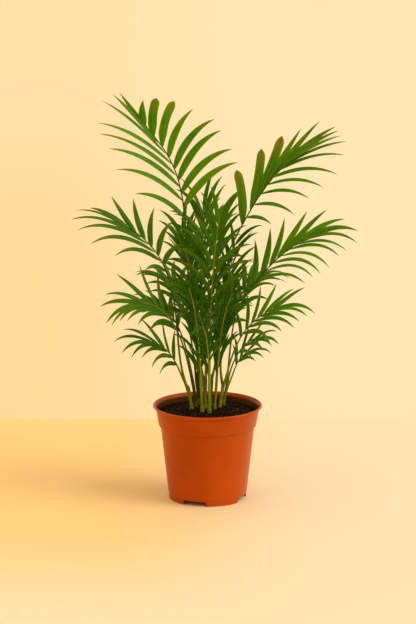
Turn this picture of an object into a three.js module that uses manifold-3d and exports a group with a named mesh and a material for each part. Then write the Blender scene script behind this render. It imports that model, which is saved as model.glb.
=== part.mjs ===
// A potted parlour palm. A clump of thin canes stands in the soil of a plastic nursery pot, and each cane
// carries two or three arching fronds with a row of narrow leaflets down each side. Units are millimetres,
// +Z is up, and the origin is the middle of the pot's underside. -Y is the front.
import * as THREE from 'three';
import { mergeVertices } from 'three/addons/utils/BufferGeometryUtils.js';
import Module from 'manifold-3d';

const wasm = await Module();
wasm.setup();

// ---- Driving dimensions ----

const WALL = 1.2; // thickness of the pot's wall
const GAP = 0.35; // clearance between pieces that touch
const POT_SIDES = 40;
const SOIL_SIDES = 24;

const POT = {
  height: 105,
  lipRadius: 60,
  collarTop: { radius: 57, z: 101.8 },
  collarBottom: { radius: 53.6, z: 84 },
  bodyTop: { radius: 51.6, z: 80 },
  bodyBottom: { radius: 43.2, z: 7.0 },
  footRadius: 42.3,
  channelFloor: 6.0, // underside of the raised ring that drains
  padRadius: 22, // the middle of the floor, which reaches the ground
  channelInnerRadius: 27,
  floor: 1.5,
};
const LIP = { beadRadius: 1.2, turns: [-80, -20, 35, 90, 160] }; // a rolled edge, its turns in degrees
const STEP_IN = { foot: 0.3, footTop: 0.8, pad: 1.2, inside: 0.4 }; // small steps in the pot's wall
// Four notches in the foot let water out from the slots in the raised ring.
const NOTCH = { count: 4, firstDeg: -20, width: 29, topWidth: 25.5, height: 5.2, depth: 8, outside: 3 };
const SLOT = { inner: 31, outer: 37.5, spreadDeg: 24, depth: 4 };
// The soil's surface is a low mound: radii as shares of moundRadius, and heights above the edge.
const SOIL = {
  edge: 96.5,
  moundRadius: 24,
  mound: [[1.5, 0.4], [1, 1.6], [0.6, 2.7], [0, 3]],
};

const CANE = { sides: 6, steps: 3, plantedTo: 82, taper: 0.9 };
const STALK = { sides: 4, steps: 9, tipRadius: 0.8, lastLeaflet: 0.99, thinnest: 0.8, perWidth: 0.08 };
const LEAFLET = {
  steps: 12, // steps along the midrib's line
  rings: [2, 7], // steps that carry a cross-section
  widthShares: [0.8, 1], // the blade's width there, as a share of its full width
  baseHalfWidth: 0.3,
  baseOffset: 0.3, // from the stalk's centre line
  thickness: 0.8,
  arch: 0.7, // how much more a leaflet stands off at its tip than at its foot, as a share of its mean
  riseDeg: 8, // out of the frond's plane, towards its upper side
};
const VARY = { open: 3, rise: 5, roll: 12, length: 0.05, sag: 0.2 }; // how much leaflets differ
const CLEARANCE = { width: 1.2, thickness: 0.9, length: 1.5 }; // kept around a leaflet while it is placed

// ---- The plant ----

// Each cane: where it leaves the soil, where its sheath ends and the fronds part, and its radius.
const CANES = {
  a: { foot: [-16.5, 4], top: [-22, 1, 124], radius: 2.2 },
  b: { foot: [-12, 14], top: [-15.5, 14, 122], radius: 1.7 },
  c: { foot: [-5.5, -9], top: [-7, -9.5, 126], radius: 2.3 },
  d: { foot: [2, -11], top: [2, -12, 124], radius: 2.3 },
  e: { foot: [7.5, 4], top: [9.5, 3, 124], radius: 1.8 },
  f: { foot: [13, 15], top: [17, 14.5, 122], radius: 1.9 },
  g: { foot: [16.5, 25], top: [21.5, 25, 120], radius: 2.1 },
  h: { foot: [-9, 25], top: [-11, 26, 122], radius: 1.9 },
  i: { foot: [3, 21], top: [4, 22, 128], radius: 2.1 },
  j: { foot: [-2, 6], top: [-3, 6.5, 130], radius: 2.1 },
};

// Each frond grows from one cane. Its stalk starts just above the cane and passes three points: a third and
// two thirds of the way along, and its tip. face is the way its upper side looks, and bare the share of the
// stalk with no leaflets. left and right are its two rows of leaflets, seen from its upper side with the tip
// up: open is how far they stand off from the stalk in degrees, and long their lengths, each at the start,
// the middle and the end of the row. roll is how far the blades of a row turn to look at the stalk's tip, in
// degrees. sag is how strongly the leaflets droop, and loose how untidy they are.
const FRONDS = [
  {
    name: 'top_left', cane: 'j', points: [[-22, 10, 262], [-30, 14, 346], [-70, 18, 413]],
    face: [0.15, -0.95, 0.2], bare: 0.52, pairs: 8, width: 8.2, sag: 0.3, loose: 1,
    left: { open: [52, 31, -15], long: [63, 100, 43], roll: 36 },
    right: { open: [53, 55, 40], long: [79, 69, 30], roll: 4 },
  },
  {
    name: 'top_right', cane: 'i', points: [[3, 20, 218], [46, 14, 318], [83, 4, 373]],
    face: [-0.1, -0.95, 0.3], bare: 0.61, pairs: 8, width: 8.0, sag: 0.3, loose: 1,
    left: { open: [31, -3, -6], long: [64, 85, 74], roll: 6 },
    right: { open: [71, 46, 5], long: [20, 74, 84], roll: 36 },
  },
  {
    name: 'middle_left', cane: 'a', points: [[-33, -3, 188], [-44, -9, 254], [-88, -18, 308]],
    face: [0.3, -0.85, 0.45], bare: 0.68, pairs: 6, width: 6.4, sag: 0.8, loose: 1,
    left: { open: [46, 25, -5], long: [29, 90, 63], roll: 26 },
    right: { open: [68, 41, 9], long: [32, 46, 48], roll: 0 },
  },
  {
    name: 'middle_right', cane: 'f', points: [[24, 13, 190], [61, 11, 250], [105, 5, 289]],
    face: [-0.3, -0.85, 0.45], bare: 0.57, pairs: 7, width: 6.4, sag: 0.9, loose: 1,
    left: { open: [35, 18, -11], long: [53, 61, 75], roll: 0 },
    right: { open: [39, 36, 16], long: [60, 61, 65], roll: 26 },
  },
  {
    name: 'lower_left', cane: 'b', points: [[-25, 8, 163], [-42, -6, 204], [-74, -22, 224]],
    face: [0.25, -0.75, 0.6], bare: 0.6, pairs: 6, width: 5.8, sag: 1.1, loose: 1,
    left: { open: [42, 27, 12], long: [44, 58, 48], roll: 12 },
    right: { open: [50, 31, 12], long: [44, 54, 48], roll: 0 },
  },
  {
    name: 'lower_right', cane: 'f', points: [[27, 5, 158], [43, -3, 191], [76, -12, 217]],
    face: [-0.25, -0.75, 0.6], bare: 0.55, pairs: 6, width: 5.4, sag: 1.0, loose: 1,
    left: { open: [46, 29, 12], long: [36, 46, 42], roll: 0 },
    right: { open: [46, 29, 12], long: [42, 54, 46], roll: 12 },
  },
  {
    name: 'lowest_left', cane: 'a', points: [[-29, -9, 141], [-40, -18, 165], [-62, -25, 182]],
    face: [0.25, -0.7, 0.65], bare: 0.5, pairs: 5, width: 5, sag: 1.4, loose: 1,
    left: { open: [50, 33, 16], long: [32, 44, 42], roll: 0 },
    right: { open: [40, 24, 8], long: [34, 42, 44], roll: 0 },
  },
  {
    name: 'side_right', cane: 'g', points: [[26, 17, 141], [36, 9, 164], [55, 2, 180]],
    face: [-0.3, -0.6, 0.7], bare: 0.55, pairs: 4, width: 4.4, sag: 1.2, loose: 1,
    left: { open: [42, 26, 10], long: [24, 30, 28], roll: 0 },
    right: { open: [48, 32, 16], long: [28, 34, 30], roll: 0 },
  },
  {
    name: 'lowest_right', cane: 'g', points: [[28.5, 27, 134], [34, 26.5, 147], [44, 24, 158]],
    face: [-0.3, -0.7, 0.65], bare: 0.55, pairs: 3, width: 4, sag: 1.2, loose: 1,
    left: { open: [36, 23, 10], long: [24, 32, 34], roll: 0 },
    right: { open: [40, 27, 14], long: [20, 30, 30], roll: 0 },
  },
  {
    name: 'middle_front', cane: 'd', points: [[3, -14, 190], [6, -16, 256], [13, -15, 316]],
    face: [0, -1, 0.1], bare: 0.3, pairs: 10, width: 5.6, sag: 0.8, loose: 2.2,
    left: { open: [46, 33, 20], long: [52, 60, 44], roll: 12 },
    right: { open: [46, 33, 20], long: [52, 60, 44], roll: 12 },
  },
  {
    name: 'middle_back', cane: 'j', points: [[-1, 2, 180], [1, 4, 236], [-4, 10, 298]],
    face: [0, -1, 0.2], bare: 0.16, pairs: 10, width: 5.2, sag: 0.8, loose: 3,
    left: { open: [28, 27, 26], long: [46, 56, 46], roll: 20 },
    right: { open: [28, 27, 26], long: [46, 56, 46], roll: 20 },
  },
  {
    name: 'inner_left', cane: 'c', points: [[-10, -6, 172], [-15, -3, 226], [-24, 2, 280]],
    face: [0.1, -1, 0.1], bare: 0.12, pairs: 11, width: 4.5, sag: 0.8, loose: 3.5,
    left: { open: [24, 24, 24], long: [44, 54, 40], roll: 20 },
    right: { open: [22, 22, 22], long: [44, 52, 38], roll: 10 },
  },
  {
    name: 'inner_right', cane: 'e', points: [[13, 4, 174], [20, 5, 228], [30, 4, 284]],
    face: [-0.1, -1, 0.1], bare: 0.12, pairs: 11, width: 4.5, sag: 0.8, loose: 3.5,
    left: { open: [22, 22, 22], long: [44, 52, 38], roll: 10 },
    right: { open: [24, 24, 24], long: [44, 54, 40], roll: 20 },
  },
  {
    name: 'front_left', cane: 'c', points: [[-9, -18, 170], [-13, -32, 212], [-20, -50, 246]],
    face: [0.2, -0.9, -0.3], bare: 0.1, pairs: 10, width: 4.2, sag: 0.7, loose: 4,
    left: { open: [20, 21, 22], long: [42, 50, 38], roll: 30 },
    right: { open: [18, 19, 20], long: [42, 50, 38], roll: 10 },
  },
  {
    name: 'front_right', cane: 'e', points: [[13, -8, 168], [18, -26, 208], [27, -48, 240]],
    face: [-0.2, -0.9, -0.3], bare: 0.1, pairs: 10, width: 4.2, sag: 0.7, loose: 4,
    left: { open: [18, 19, 20], long: [42, 50, 38], roll: 10 },
    right: { open: [20, 21, 22], long: [42, 50, 38], roll: 30 },
  },
  {
    name: 'low_front', cane: 'd', points: [[1, -24, 156], [-1, -44, 188], [-6, -70, 210]],
    face: [0.1, -0.6, 0.2], bare: 0.28, pairs: 8, width: 4, sag: 0.8, loose: 4,
    left: { open: [28, 22, 16], long: [34, 40, 32], roll: 20 },
    right: { open: [28, 22, 16], long: [34, 40, 32], roll: 20 },
  },
  {
    name: 'top_back', cane: 'i', points: [[-7, 33, 200], [-4, 43, 262], [-5, 56, 312]],
    face: [0, -0.7, 0.7], bare: 0.4, pairs: 8, width: 6.4, sag: 0.9, loose: 2.5,
    left: { open: [48, 34, 20], long: [50, 58, 50], roll: 20 },
    right: { open: [48, 34, 20], long: [50, 58, 50], roll: 20 },
  },
  {
    name: 'back_upright', cane: 'h', points: [[-13, 32, 185], [-18, 42, 238], [-27, 54, 284]],
    face: [0.1, -0.8, 0.6], bare: 0.3, pairs: 8, width: 5.8, sag: 0.9, loose: 2.5,
    left: { open: [40, 29, 18], long: [44, 50, 44], roll: 20 },
    right: { open: [40, 29, 18], long: [44, 50, 44], roll: 20 },
  },
  {
    name: 'back_left', cane: 'h', points: [[-18, 37, 168], [-28, 52, 208], [-44, 70, 230]],
    face: [0.3, -0.5, 0.8], bare: 0.5, pairs: 6, width: 6.2, sag: 1.1, loose: 1,
    left: { open: [50, 34, 18], long: [44, 50, 44], roll: 0 },
    right: { open: [46, 32, 18], long: [44, 50, 44], roll: 0 },
  },
  {
    name: 'back_right', cane: 'g', points: [[26, 36, 168], [35, 52, 210], [52, 70, 230]],
    face: [-0.3, -0.5, 0.8], bare: 0.5, pairs: 6, width: 6.2, sag: 1.1, loose: 1,
    left: { open: [46, 32, 18], long: [44, 50, 44], roll: 0 },
    right: { open: [50, 34, 18], long: [44, 50, 44], roll: 0 },
  },
  {
    name: 'low_back', cane: 'i', points: [[11, 41, 156], [17, 60, 186], [22, 82, 200]],
    face: [-0.1, -0.5, 0.8], bare: 0.45, pairs: 5, width: 6, sag: 1.1, loose: 1,
    left: { open: [48, 33, 18], long: [38, 42, 36], roll: 0 },
    right: { open: [48, 33, 18], long: [38, 42, 36], roll: 0 },
  },
  {
    name: 'side_left', cane: 'b', points: [[-23, 22, 160], [-35, 32, 190], [-54, 42, 208]],
    face: [0.3, -0.6, 0.8], bare: 0.55, pairs: 5, width: 5.8, sag: 1.2, loose: 1,
    left: { open: [50, 33, 16], long: [38, 46, 40], roll: 0 },
    right: { open: [44, 28, 12], long: [36, 44, 38], roll: 0 },
  },
];

// What a leaflet tries, in turn, to stay clear of its neighbours: tilts out of the frond's plane in
// degrees, at its full length first and then at shorter ones.
const TILTS = [0, 10, -10, 20, -20, 32, -32, 45, -45];
const SIZES = [1, 0.85, 0.7, 0.5];
const VARIANTS = SIZES.flatMap((size) => TILTS.map((tilt) => ({ size, tilt })));

// ---- Small tools ----

const UP = new THREE.Vector3(0, 0, 1);
const FRONT = new THREE.Vector3(0, -1, 0);
const vector = (point) => new THREE.Vector3(...point);
const radians = THREE.MathUtils.degToRad;
const mix = THREE.MathUtils.lerp;

// The part of v at right angles to the unit vector axis, made a unit vector.
const square = (v, axis) => v.clone().addScaledVector(axis, -v.dot(axis)).normalize();

// A number from -1 to 1 that looks random and is always the same for the same seed.
function noise(seed) {
  const x = Math.sin(seed * 12.9898) * 43758.5453;
  return 2 * (x - Math.floor(x)) - 1;
}

// The cubic curve from start to end that passes q1 a third of the way and q2 two thirds of the way.
function cubicThrough(start, q1, q2, end) {
  const given = [start, q1, q2, end];
  const blend = (...shares) =>
    given.reduce((sum, point, i) => sum.addScaledVector(point, shares[i]), new THREE.Vector3());
  const second = blend(-5 / 6, 3, -1.5, 1 / 3);
  const third = blend(1 / 3, -1.5, 3, -5 / 6);
  return new THREE.CubicBezierCurve3(start, second, third, end);
}

function solidOf(geometry) {
  const bare = geometry.index ? geometry.toNonIndexed() : geometry.clone();
  bare.deleteAttribute('normal');
  bare.deleteAttribute('uv');
  const merged = mergeVertices(bare, 1e-4);
  return new wasm.Manifold(
    new wasm.Mesh({
      numProp: 3,
      vertProperties: merged.attributes.position.array,
      triVerts: new Uint32Array(merged.index.array),
    }),
  );
}

function geometryOf(solid) {
  const mesh = solid.getMesh();
  const geometry = new THREE.BufferGeometry();
  geometry.setAttribute('position', new THREE.BufferAttribute(mesh.vertProperties.slice(), 3));
  geometry.setIndex(new THREE.BufferAttribute(mesh.triVerts.slice(), 1));
  geometry.computeVertexNormals();
  return geometry;
}

// A closed skin over rings of points that run anticlockwise seen from the far end. It ends in a point if
// tip is given.
function loft(rings, tip) {
  const sides = rings[0].length;
  const last = (rings.length - 1) * sides;
  const index = [];
  for (let j = 1; j < sides - 1; j++) {
    index.push(0, j + 1, j);
  }
  for (let i = 0; i < rings.length - 1; i++) {
    for (let j = 0; j < sides; j++) {
      const a = i * sides + j;
      const b = i * sides + ((j + 1) % sides);
      index.push(a, b, b + sides, a, b + sides, a + sides);
    }
  }
  if (tip) {
    for (let j = 0; j < sides; j++) {
      index.push(last + j, last + ((j + 1) % sides), last + sides);
    }
  } else {
    for (let j = 1; j < sides - 1; j++) {
      index.push(last, last + j, last + j + 1);
    }
  }
  const points = [...rings.flat(), ...(tip ? [tip] : [])];
  const geometry = new THREE.BufferGeometry().setFromPoints(points);
  geometry.setIndex(index);
  return geometry;
}

// A rod along a curve, with one of its flat sides towards the direction given. Its radius changes evenly
// along it.
function rod(curve, steps, sides, startRadius, endRadius, towards) {
  const rings = [];
  for (let i = 0; i <= steps; i++) {
    const t = i / steps;
    const along = curve.getTangent(t);
    const across = square(towards, along);
    const other = along.clone().cross(across);
    const radius = mix(startRadius, endRadius, t);
    rings.push(
      Array.from({ length: sides }, (_, j) => {
        const angle = (2 * Math.PI * (j + 0.5)) / sides;
        return curve
          .getPoint(t)
          .addScaledVector(across, radius * Math.cos(angle))
          .addScaledVector(other, radius * Math.sin(angle));
      }),
    );
  }
  return loft(rings);
}

// ---- Pot ----

function potOutside() {
  const { footRadius, bodyBottom, bodyTop, collarBottom, collarTop } = POT;
  return [
    [footRadius, 0],
    [footRadius + STEP_IN.foot, bodyBottom.z - STEP_IN.footTop],
    [bodyBottom.radius, bodyBottom.z],
    [bodyTop.radius, bodyTop.z],
    [collarBottom.radius, collarBottom.z],
    [collarTop.radius, collarTop.z],
  ];
}

function potLip() {
  const size = LIP.beadRadius;
  return LIP.turns.map((turn) => [
    POT.lipRadius - size + size * Math.cos(radians(turn)),
    POT.height - size + size * Math.sin(radians(turn)),
  ]);
}

// The inside from the lip down to the raised ring, a wall's thickness in from the outside, and in by inset
// more.
function potInside(inset) {
  const { bodyBottom, bodyTop, collarBottom, collarTop, channelFloor, floor } = POT;
  const inner = ({ radius }) => radius - WALL - inset;
  return [
    [inner(collarTop), collarTop.z],
    [inner(collarBottom), collarBottom.z + STEP_IN.inside],
    [inner(bodyTop), bodyTop.z + STEP_IN.inside],
    [inner(bodyBottom), channelFloor + floor + inset],
    [POT.channelInnerRadius, channelFloor + floor + inset],
    [POT.padRadius, floor + inset],
    [0, floor + inset],
  ];
}

function revolve(profile, sides) {
  const geometry = new THREE.LatheGeometry(profile.map(([r, z]) => new THREE.Vector2(r, z)), sides);
  return solidOf(geometry.rotateX(Math.PI / 2));
}

function potUnderside() {
  const insideFoot = POT.footRadius - WALL - STEP_IN.foot;
  return [
    [0, 0],
    [POT.padRadius + STEP_IN.pad, 0],
    [POT.channelInnerRadius + STEP_IN.pad, POT.channelFloor],
    [insideFoot, POT.channelFloor],
    [insideFoot, 0],
  ];
}

// A block that cuts a notch with sloping sides through the front of the foot.
function notchCut() {
  const { width, topWidth, height, depth, outside } = NOTCH;
  const corners = [[-width / 2, -1], [width / 2, -1], [topWidth / 2, height], [-topWidth / 2, height]];
  const outline = new THREE.Shape(corners.map(([x, y]) => new THREE.Vector2(x, y)));
  const block = new THREE.ExtrudeGeometry(outline, { depth, bevelEnabled: false });
  return block.rotateX(Math.PI / 2).translate(0, depth - outside - POT.footRadius, 0);
}

// A block that cuts a curved slot through the raised ring, at the front.
function slotCut() {
  const half = radians(SLOT.spreadDeg / 2);
  const front = -Math.PI / 2;
  const outline = new THREE.Shape();
  outline.absarc(0, 0, SLOT.outer, front - half, front + half, false);
  outline.absarc(0, 0, SLOT.inner, front + half, front - half, true);
  const { depth } = SLOT;
  const block = new THREE.ExtrudeGeometry(outline, { depth, bevelEnabled: false, curveSegments: 4 });
  return block.translate(0, 0, POT.channelFloor - 1);
}

function makePot() {
  const profile = [...potUnderside(), ...potOutside(), ...potLip(), ...potInside(0)];
  let pot = revolve(profile, POT_SIDES);
  for (let i = 0; i < NOTCH.count; i++) {
    const turn = radians(NOTCH.firstDeg + (360 / NOTCH.count) * i);
    for (const cut of [notchCut(), slotCut()]) {
      pot = pot.subtract(solidOf(cut.rotateZ(turn)));
    }
  }
  return pot;
}

// ---- Canes and soil ----

function caneCurve({ foot, top }, extra) {
  const [x, y] = foot;
  const start = new THREE.Vector3(x, y, CANE.plantedTo - extra);
  const middle = new THREE.Vector3(x, y, mix(CANE.plantedTo, top[2], 0.5));
  return new THREE.QuadraticBezierCurve3(start, middle, vector(top));
}

// A cane, made thicker and deeper by extra for the hole that it stands in.
function caneRod(cane, extra) {
  const topRadius = cane.radius * CANE.taper + extra;
  return rod(caneCurve(cane, extra), CANE.steps, CANE.sides, cane.radius + extra, topRadius, FRONT);
}

function makeSoil(canes) {
  const [collar, ...walls] = potInside(GAP);
  const [ledge] = walls;
  const rim = [mix(ledge[0], collar[0], (SOIL.edge - ledge[1]) / (collar[1] - ledge[1])), SOIL.edge];
  const top = SOIL.mound.map(([share, rise]) => [share * SOIL.moundRadius, SOIL.edge + rise]);
  const bed = revolve([...walls.reverse(), rim, ...top], SOIL_SIDES);
  return canes.reduce((soil, cane) => soil.subtract(solidOf(caneRod(cane, GAP))), bed);
}

// ---- Fronds ----

const stalkRadius = (frond) => STALK.thinnest + frond.width * STALK.perWidth;

// How far a frond's stalk leans to the side of the top of its cane.
function lean(frond) {
  const [x, y] = frond.points[0];
  const [topX, topY] = CANES[frond.cane].top;
  return new THREE.Vector3(x - topX, y - topY, 0);
}

// A stalk starts just above its cane, set to the side that it leans to, so that stalks on the same cane
// stay apart.
function stalkCurve(frond) {
  const cane = CANES[frond.cane];
  const [q1, q2, tip] = frond.points.map(vector);
  const caneWay = caneCurve(cane, 0).getTangent(1);
  const stalkWay = cubicThrough(vector(cane.top), q1, q2, tip).getTangent(0);
  const sharing = FRONDS.filter((other) => other.cane === frond.cane);
  const leans = sharing.reduce((sum, other) => sum.add(lean(other)), new THREE.Vector3());
  const aside = lean(frond).addScaledVector(leans, -1 / sharing.length);
  const start = vector(cane.top);
  if (aside.length() > 0) start.addScaledVector(square(aside, caneWay), stalkRadius(frond) + GAP / 2);
  start.addScaledVector(caneWay, GAP + stalkRadius(frond) * Math.sin(caneWay.angleTo(stalkWay)));
  return cubicThrough(start, q1, q2, tip);
}

// Where a leaflet leaves the stalk and how it is turned. side is -1 for the left row and 1 for the right
// one, whose leaflets sit half a step further on. heading gives the leaflet's direction at a share of its
// length: it stands off from the stalk more and more towards its tip.
function leafletStart(frond, curve, pair, side, tilt, seed) {
  const share = (pair + 0.25 * (side + 1)) / (frond.pairs - 0.5);
  const t = mix(frond.bare, STALK.lastLeaflet, share ** 0.9);
  const along = curve.getTangent(t);
  const upper = square(vector(frond.face), along);
  const across = along.clone().cross(upper).multiplyScalar(side);
  const row = rowOf(frond, side);
  const vary = (amount, step) => frond.loose * amount * noise(seed + step);
  const open = radians(bulge(row.open, share) + vary(VARY.open, 1));
  const rise = radians(tilt + LEAFLET.riseDeg + vary(VARY.rise, 2));
  const outward = across.clone().multiplyScalar(Math.cos(rise)).addScaledVector(upper, Math.sin(rise));
  const heading = (s) => {
    const turn = open * (1 + LEAFLET.arch * (s - 0.5));
    return along.clone().multiplyScalar(Math.cos(turn)).addScaledVector(outward, Math.sin(turn));
  };
  const chord = heading(0.5);
  const roll = radians(row.roll + vary(VARY.roll, 5));
  const flat = square(upper, chord).multiplyScalar(Math.cos(roll));
  const face = flat.addScaledVector(square(along, chord), Math.sin(roll));
  const base = stalkPoint(curve, t).addScaledVector(across, LEAFLET.baseOffset);
  return { base, heading, face, share };
}

// A point on the stalk's centre line, which is straight from each step of the rod to the next.
function stalkPoint(curve, t) {
  const step = Math.min(STALK.steps - 1, Math.floor(t * STALK.steps));
  const start = curve.getPoint(step / STALK.steps);
  return start.lerp(curve.getPoint((step + 1) / STALK.steps), t * STALK.steps - step);
}

const rowOf = (frond, side) => (side < 0 ? frond.left : frond.right);

// The parabola through first at 0, middle at a half and last at 1.
const bulge = ([first, middle, last], x) =>
  first * (1 - x) * (1 - 2 * x) + 4 * middle * x * (1 - x) + last * x * (2 * x - 1);

// A leaflet's midrib, which sags more the further it reaches sideways.
function midrib({ base, heading }, length, sag) {
  const points = [base.clone()];
  const ways = [heading(0)];
  for (let i = 0; i < LEAFLET.steps; i++) {
    const s = (i + 0.5) / LEAFLET.steps;
    const way = heading(s);
    way.z -= sag * Math.hypot(way.x, way.y) * s * s;
    way.normalize();
    points.push(points[i].clone().addScaledVector(way, length / LEAFLET.steps));
    ways.push(way);
  }
  return { points, ways };
}

// A leaflet's blade is a low roof with its ridge along the midrib, narrow at its foot and pointed at its
// tip.
function leafletBlade(frond, curve, pair, side, variant, seed, room) {
  const start = leafletStart(frond, curve, pair, side, variant.tilt, seed);
  const fullLength = bulge(rowOf(frond, side).long, start.share) * (1 + VARY.length * noise(seed + 3));
  const sag = frond.sag * (1 + VARY.sag * noise(seed + 4));
  const { points, ways } = midrib(start, fullLength * variant.size + room.length, sag);
  const ring = (step, halfWidth) => {
    const across = ways[step].clone().cross(start.face).normalize();
    const over = across.clone().cross(ways[step]);
    const at = (sideways, upward) =>
      points[step].clone().addScaledVector(across, sideways).addScaledVector(over, upward);
    const ridge = LEAFLET.thickness / 2 + room.thickness / 2;
    return [at(-halfWidth, -ridge), at(0, ridge), at(halfWidth, -ridge)];
  };
  const halfWidths = LEAFLET.widthShares.map((share) => (share * frond.width + room.width) / 2);
  const rings = LEAFLET.rings.map((step, i) => ring(step, halfWidths[i]));
  return loft([ring(0, LEAFLET.baseHalfWidth), ...rings], points.at(-1));
}

const NO_ROOM = { width: 0, thickness: 0, length: 0 };

const bounds = (solid) => {
  const { min, max } = solid.boundingBox();
  return { min, max };
};
const apart = (a, b) => [0, 1, 2].some((k) => a.min[k] > b.max[k] || b.min[k] > a.max[k]);

function touches(solid, others) {
  const box = bounds(solid);
  return others.some((other) => !apart(box, other.box) && solid.intersect(other.solid).volume() > 0);
}

// Puts the leaflets on one frond. Each is tilted, or made shorter, until it is clear of everything in
// others.
function leaflets(frond, number, curve, others) {
  const found = [];
  for (let pair = 0; pair < frond.pairs; pair++) {
    for (const side of [-1, 1]) {
      const seed = number * 100 + pair * 10 + (side + 1) * 3;
      const blade = (variant, room) => solidOf(leafletBlade(frond, curve, pair, side, variant, seed, room));
      const fits = VARIANTS.find((variant) => !touches(blade(variant, CLEARANCE), others));
      if (fits) found.push(blade(fits, NO_ROOM));
    }
  }
  return found;
}

// ---- Assembly ----

const MATERIALS = {
  pot: new THREE.MeshStandardMaterial({ color: 0xc4510f, roughness: 0.5, metalness: 0 }),
  soil: new THREE.MeshStandardMaterial({ color: 0x1c0f08, roughness: 1, metalness: 0 }),
  cane: new THREE.MeshStandardMaterial({ color: 0x6f7d1e, roughness: 0.55, metalness: 0 }),
  frond: new THREE.MeshStandardMaterial({ color: 0x3f7a10, roughness: 0.5, metalness: 0 }),
};

const palm = new THREE.Group();
function put(name, solid, material) {
  const mesh = new THREE.Mesh(geometryOf(solid), material);
  mesh.name = name;
  palm.add(mesh);
}

put('pot', makePot(), MATERIALS.pot);
put('soil', makeSoil(Object.values(CANES)), MATERIALS.soil);

const placed = [];
for (const [letter, cane] of Object.entries(CANES)) {
  const solid = solidOf(caneRod(cane, 0));
  placed.push({ solid, box: bounds(solid) });
  put('cane_' + letter, solid, MATERIALS.cane);
}

const stalks = FRONDS.map((frond) => {
  const curve = stalkCurve(frond);
  const radius = stalkRadius(frond);
  const solid = solidOf(rod(curve, STALK.steps, STALK.sides, radius, STALK.tipRadius, vector(frond.face)));
  return { curve, solid, box: bounds(solid) };
});

FRONDS.forEach((frond, number) => {
  const others = [...placed, ...stalks.slice(number + 1)];
  const blades = leaflets(frond, number, stalks[number].curve, others);
  const solid = blades.reduce((whole, blade) => whole.add(blade), stalks[number].solid);
  placed.push({ solid, box: bounds(solid) });
  put('frond_' + frond.name, solid, MATERIALS.frond);
});

export default palm;
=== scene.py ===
import math
import random
from collections import namedtuple
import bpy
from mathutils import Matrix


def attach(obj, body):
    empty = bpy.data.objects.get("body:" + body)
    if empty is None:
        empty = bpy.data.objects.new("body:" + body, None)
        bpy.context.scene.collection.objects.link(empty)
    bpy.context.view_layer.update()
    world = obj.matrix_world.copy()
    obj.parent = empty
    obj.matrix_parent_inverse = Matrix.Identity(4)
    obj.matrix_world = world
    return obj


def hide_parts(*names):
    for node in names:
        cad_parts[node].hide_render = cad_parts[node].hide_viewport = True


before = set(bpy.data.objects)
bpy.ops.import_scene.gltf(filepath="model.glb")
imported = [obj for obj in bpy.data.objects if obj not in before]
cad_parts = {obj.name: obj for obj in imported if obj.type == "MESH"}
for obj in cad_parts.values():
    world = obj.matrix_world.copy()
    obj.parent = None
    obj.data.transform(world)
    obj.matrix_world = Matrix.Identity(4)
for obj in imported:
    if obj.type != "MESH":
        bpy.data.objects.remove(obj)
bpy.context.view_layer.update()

from types import SimpleNamespace as Values

import bmesh
import bpy
from mathutils import Matrix, Vector, kdtree
from mathutils import noise as field

# A potted parlour palm. The CAD nodes are the frame: the pot, the soil, ten canes and one node for each
# frond. Each is replaced here by a finished piece in the same place. Lengths below are in millimetres
# unless a name says otherwise, and mm() turns them into metres.


def mm(value):
    return value * 0.001


# ---- The plant, as the CAD model has it ----

WALL = 1.2  # thickness of the pot's wall
GAP = 0.35  # clearance between pieces that touch
POT = Values(
    height=105,
    lip_radius=60,
    bead=1.2,  # radius of the rolled lip
    collar_top=(57, 101.8),
    collar_bottom=(53.6, 84),
    body_top=(51.6, 80),
    body_bottom=(43.2, 7.0),
    foot_radius=42.3,
    channel_floor=6.0,
    pad_radius=22,
    channel_inner_radius=27,
    floor=1.5,
)
# The notches in the skirt that let water out, and the slots in the floor above them.
DRAIN = Values(count=4, first_deg=-20, width=29, top_width=25.5, height=5.2)
SLOT = Values(inner=31, outer=37.5, spread_deg=24)
SOIL = Values(edge=96.5, middle=99.5)  # height of the soil at the wall and in the middle
PLANTED_TO = 82  # height of the canes' lower ends in the soil
# A stalk's straight steps, where its last leaflet is, how the leaflets crowd towards the tip, and its radius.
STALK = Values(steps=9, last_leaflet=0.99, crowding=0.9, radius=0.8, radius_per_width=0.08)
LEAFLET = Values(steps=12, base_offset=0.3, arch=0.7, rise_deg=8)
# How much chance changes each leaflet: degrees, and shares of its length and sag.
VARY = Values(open=3, rise=5, roll=12, length=0.05, sag=0.2)

# Each cane: where it leaves the soil, where the fronds part, its radius, and how yellow it is, where 0 is
# dark green.
Cane = namedtuple("Cane", "foot top radius yellow")
CANES = {
    "a": Cane((-16.5, 4), (-22, 1, 124), 2.2, 0.75),
    "b": Cane((-12, 14), (-15.5, 14, 122), 1.7, 0.25),
    "c": Cane((-5.5, -9), (-7, -9.5, 126), 2.3, 0.9),
    "d": Cane((2, -11), (2, -12, 124), 2.3, 1.0),
    "e": Cane((7.5, 4), (9.5, 3, 124), 1.8, 0.7),
    "f": Cane((13, 15), (17, 14.5, 122), 1.9, 0.95),
    "g": Cane((16.5, 25), (21.5, 25, 120), 2.1, 0.85),
    "h": Cane((-9, 25), (-11, 26, 122), 1.9, 0.15),
    "i": Cane((3, 21), (4, 22, 128), 2.1, 0.4),
    "j": Cane((-2, 6), (-3, 6.5, 130), 2.1, 0.6),
}

Row = namedtuple("Row", "open long roll")
Frond = namedtuple("Frond", "name cane points face bare pairs width sag rows loose", defaults=(1,))

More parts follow.
